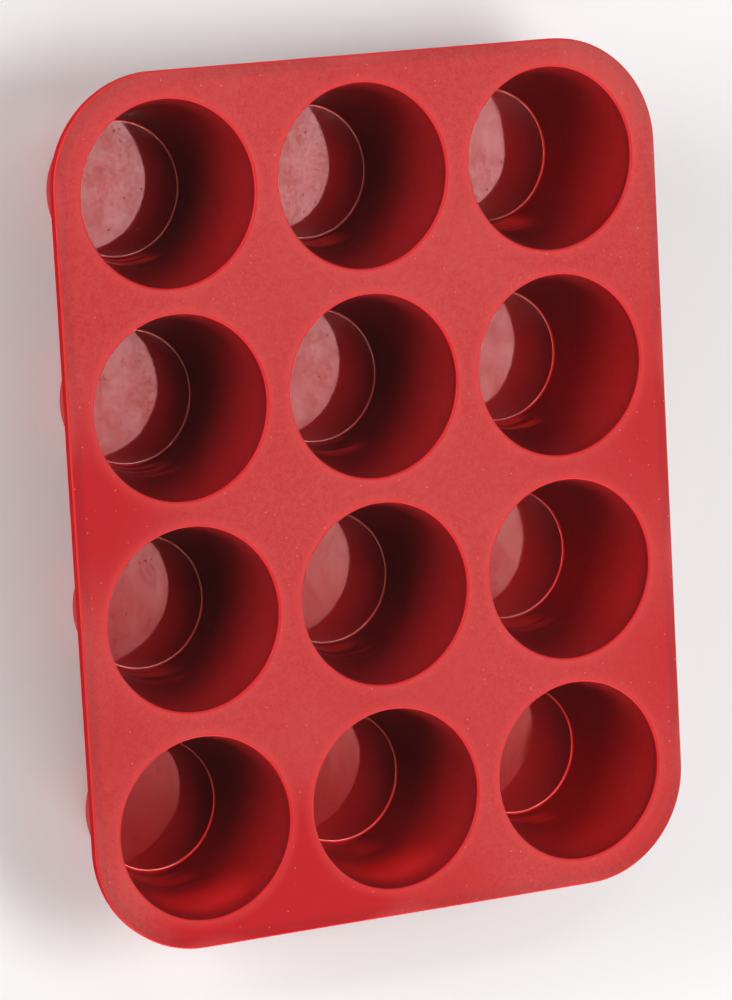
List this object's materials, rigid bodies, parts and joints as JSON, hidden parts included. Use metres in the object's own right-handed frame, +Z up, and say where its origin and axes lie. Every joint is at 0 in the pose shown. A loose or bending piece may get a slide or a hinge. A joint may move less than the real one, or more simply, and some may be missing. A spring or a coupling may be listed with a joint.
{
  "type": "muffin pan",
  "caption": "Moulded silicone baking pan with a grid of tapered flat-floored cups hung from a level deck with rounded corners and a short rim lip.",
  "frame": {"origin": "centre of the footprint, on the surface that the cup floors stand on", "axes": "+Z up out of the cups, +Y along the long side (four cups), +X along the short side (three cups)"},
  "size_m": [0.2498, 0.3292, 0.052],
  "materials": {
    "deck_silicone": "satin red silicone, slightly dusty",
    "rim_silicone": "satin red silicone",
    "cup_silicone": "mould-polished glossy red silicone"
  },
  "bodies": {
    "root": {"deck": "deck_silicone", "rim_lip": "rim_silicone", "cup_r1c1": "cup_silicone", "cup_r1c2": "cup_silicone", "cup_r1c3": "cup_silicone", "cup_r2c1": "cup_silicone", "cup_r2c2": "cup_silicone", "cup_r2c3": "cup_silicone", "cup_r3c1": "cup_silicone", "cup_r3c2": "cup_silicone", "cup_r3c3": "cup_silicone", "cup_r4c1": "cup_silicone", "cup_r4c2": "cup_silicone", "cup_r4c3": "cup_silicone"}
  },
  "joints": []
}
